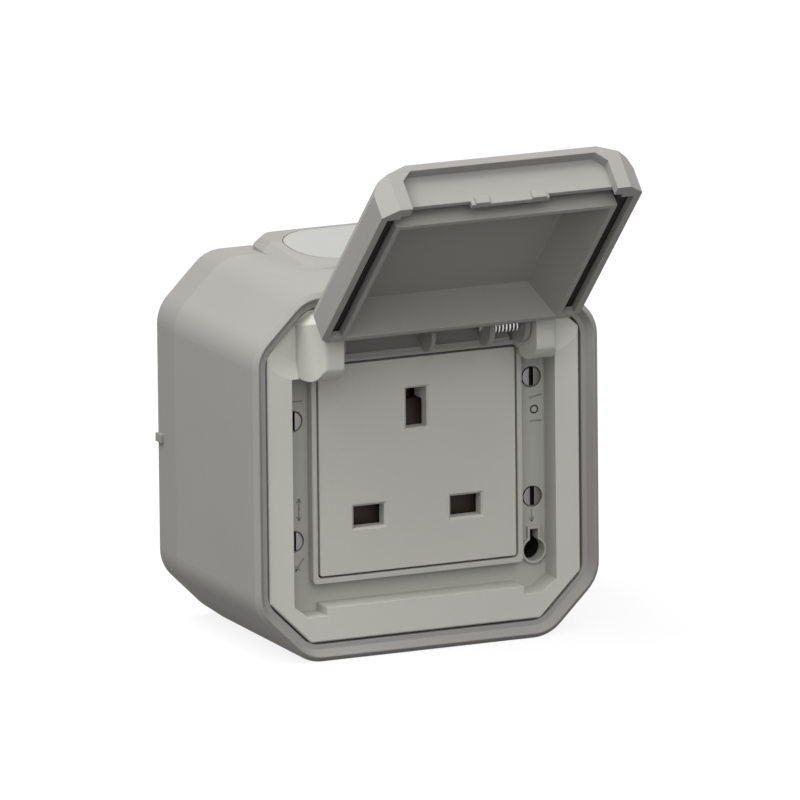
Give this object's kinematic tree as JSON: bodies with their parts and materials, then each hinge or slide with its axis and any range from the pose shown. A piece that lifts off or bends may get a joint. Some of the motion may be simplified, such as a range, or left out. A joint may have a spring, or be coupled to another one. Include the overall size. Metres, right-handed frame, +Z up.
{
  "type": "weatherproof socket",
  "caption": "Surface-mounted weatherproof socket outlet: cut-cornered wall box, framed square socket face and a faceted lid on a sprung hinge.",
  "frame": {"origin": "centre of the box's back face, on the wall", "axes": "+Z up the wall, +Y into the wall, so the socket faces -Y, +X to the right seen from the front"},
  "size_m": [0.0798, 0.0983, 0.1133],
  "materials": {
    "box_plastic": "fine matt moulded grey",
    "frame_plastic": "fine matt moulded pale grey",
    "module_plastic": "satin moulded grey",
    "membrane": "soft matt pale grey",
    "seal_rubber": "matt black",
    "dark_plastic": "matt dark",
    "steel": "bright zinc",
    "brass": "plain"
  },
  "bodies": {
    "root": {"box": "box_plastic", "entry_membrane": "membrane", "frame_seal": "seal_rubber", "frame": "frame_plastic", "frame_screws": "steel", "hinge_pins": "steel", "lid_spring": "steel", "socket_cover": "module_plastic", "socket_base": "dark_plastic", "shutter_spring": "steel", "neutral_contact": "brass", "live_contact": "brass", "earth_contact": "brass", "neutral_terminal": "brass", "live_terminal": "brass", "earth_terminal": "brass", "terminal_screws": "steel", "base_screws": "steel"},
    "lid": {"lid": "box_plastic", "lid_seal": "seal_rubber"},
    "shutter": {"shutter": "dark_plastic"}
  },
  "joints": [
    {"name": "lid_hinge", "type": "hinge", "parent": "root", "child": "lid", "pos_m": [0, -0.0528, 0.029], "axis": [1, 0, 0], "range_deg": [0, 135], "deforming": ["lid_spring"]},
    {"name": "shutter_slide", "type": "slide", "parent": "root", "child": "shutter", "axis": [0, 0, -1], "range_m": [0, 0.0063], "stiffness_N_per_m": 60, "springref_m": -0.004, "deforming": ["shutter_spring"]}
  ]
}
